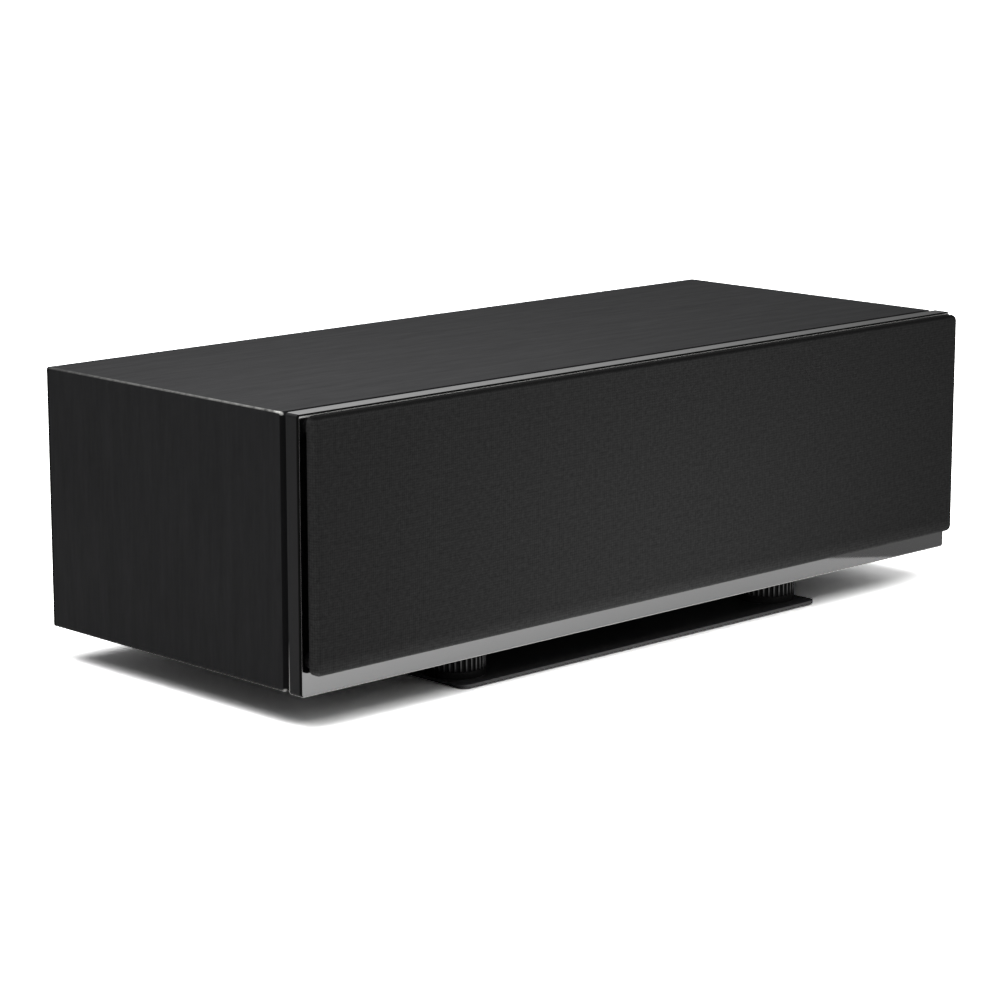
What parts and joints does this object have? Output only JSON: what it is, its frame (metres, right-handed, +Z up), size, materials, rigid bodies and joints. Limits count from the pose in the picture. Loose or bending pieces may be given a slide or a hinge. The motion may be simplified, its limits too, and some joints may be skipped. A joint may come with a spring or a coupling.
{
  "type": "centre channel loudspeaker",
  "caption": "Low wide centre channel loudspeaker with a pull-off cloth grille, a lacquered front baffle and a base plate on short fluted pillars.",
  "frame": {"origin": "on the floor under the middle of the object's box", "axes": "+Z up, front faces -Y, +X along the cabinet's width"},
  "size_m": [0.54, 0.2288, 0.1703],
  "materials": {
    "vinyl_wrapped_board": "black wood-grain vinyl wrap on fibreboard, satin",
    "rear_board": "black satin wrap on fibreboard",
    "raw_fibreboard": "bare fibreboard",
    "black_lacquer": "polished graphite lacquer on the face, satin black edges, on fibreboard",
    "foam_rubber": "matt foam",
    "grille_moulding": "moulded, matt",
    "grille_cloth": "fine woven cloth, stretched",
    "rubber": "moulded, matt",
    "black_sheet_steel": "black powder coat",
    "pillar_moulding": "moulded, satin gloss",
    "black_screw_steel": "blackened zinc plate",
    "basket_steel": "black paint",
    "motor_steel": "plated",
    "ferrite": "sintered, matt",
    "cone_paper": "pressed pulp, dyed black",
    "spider_cloth": "resin-stiffened weave",
    "copper_winding": "enamelled copper",
    "dome_fabric": "coated silk weave",
    "faceplate_moulding": "moulded, satin",
    "port_moulding": "moulded, satin",
    "terminal_moulding": "moulded, fine spark texture",
    "gilt_brass": "gold-plated brass",
    "nut_black": "moulded",
    "nut_red": "moulded",
    "circuit_board": "solder-masked laminate",
    "film_sleeve": "shrunk film sleeve",
    "resistor_ceramic": "cement body",
    "wadding": "polyester fleece"
  },
  "bodies": {
    "cabinet": {"baffle_gasket": "foam_rubber", "base_pads": "rubber", "base_plate": "black_sheet_steel", "base_screws": "black_screw_steel", "bottom_panel": "vinyl_wrapped_board", "brace_left": "raw_fibreboard", "brace_right": "raw_fibreboard", "crossover_board": "circuit_board", "crossover_capacitors": "film_sleeve", "crossover_inductors": "copper_winding", "crossover_resistors": "resistor_ceramic", "driver_screws": "black_screw_steel", "front_baffle": "black_lacquer", "grille_cups": "rubber", "inner_baffle": "raw_fibreboard", "left_panel": "vinyl_wrapped_board", "pillar_front_left": "pillar_moulding", "pillar_front_right": "pillar_moulding", "pillar_rear_left": "pillar_moulding", "pillar_rear_right": "pillar_moulding", "port_tube": "port_moulding", "rear_panel": "rear_board", "right_panel": "vinyl_wrapped_board", "terminal_cup": "terminal_moulding", "terminal_post_minus": "gilt_brass", "terminal_post_plus": "gilt_brass", "terminal_screws": "black_screw_steel", "top_panel": "vinyl_wrapped_board", "tweeter_faceplate": "faceplate_moulding", "tweeter_magnet": "ferrite", "tweeter_rear_chamber": "faceplate_moulding", "tweeter_surround": "dome_fabric", "tweeter_top_plate": "motor_steel", "tweeter_yoke": "motor_steel", "wadding": "wadding", "woofer_left_basket": "basket_steel", "woofer_left_magnet": "ferrite", "woofer_left_spider": "spider_cloth", "woofer_left_surround": "rubber", "woofer_left_top_plate": "motor_steel", "woofer_left_yoke": "motor_steel", "woofer_right_basket": "basket_steel", "woofer_right_magnet": "ferrite", "woofer_right_spider": "spider_cloth", "woofer_right_surround": "rubber", "woofer_right_top_plate": "motor_steel", "woofer_right_yoke": "motor_steel"},
    "grille": {"grille_frame": "grille_moulding", "grille_cloth": "grille_cloth"},
    "woofer_left_moving": {"woofer_left_cone": "cone_paper", "woofer_left_dust_cap": "cone_paper", "woofer_left_voice_coil": "copper_winding"},
    "woofer_right_moving": {"woofer_right_cone": "cone_paper", "woofer_right_dust_cap": "cone_paper", "woofer_right_voice_coil": "copper_winding"},
    "tweeter_moving": {"tweeter_dome": "dome_fabric", "tweeter_voice_coil": "copper_winding"},
    "nut_minus": {"terminal_nut_minus": "nut_black"},
    "nut_plus": {"terminal_nut_plus": "nut_red"}
  },
  "joints": [
    {"name": "grille_pull", "type": "slide", "parent": "cabinet", "child": "grille", "axis": [0, -1, 0], "range_m": [0, 0.03]},
    {"name": "woofer_left_travel", "type": "slide", "parent": "cabinet", "child": "woofer_left_moving", "axis": [0, 1, 0], "range_m": [-0.004, 0.004], "stiffness_N_per_m": 900, "deforming": ["woofer_left_surround", "woofer_left_spider"]},
    {"name": "woofer_right_travel", "type": "slide", "parent": "cabinet", "child": "woofer_right_moving", "axis": [0, 1, 0], "range_m": [-0.004, 0.004], "stiffness_N_per_m": 900, "deforming": ["woofer_right_surround", "woofer_right_spider"]},
    {"name": "tweeter_travel", "type": "slide", "parent": "cabinet", "child": "tweeter_moving", "axis": [0, 1, 0], "range_m": [-0.0004, 0.0004], "stiffness_N_per_m": 1500, "deforming": ["tweeter_surround"]},
    {"name": "nut_minus_turn", "type": "hinge", "parent": "cabinet", "child": "nut_minus", "pos_m": [-0.019, 0.096, 0.0944], "axis": [0, 1, 0], "range_deg": [0, 720]},
    {"name": "nut_plus_turn", "type": "hinge", "parent": "cabinet", "child": "nut_plus", "pos_m": [0.019, 0.096, 0.0944], "axis": [0, 1, 0], "range_deg": [0, 720]}
  ]
}
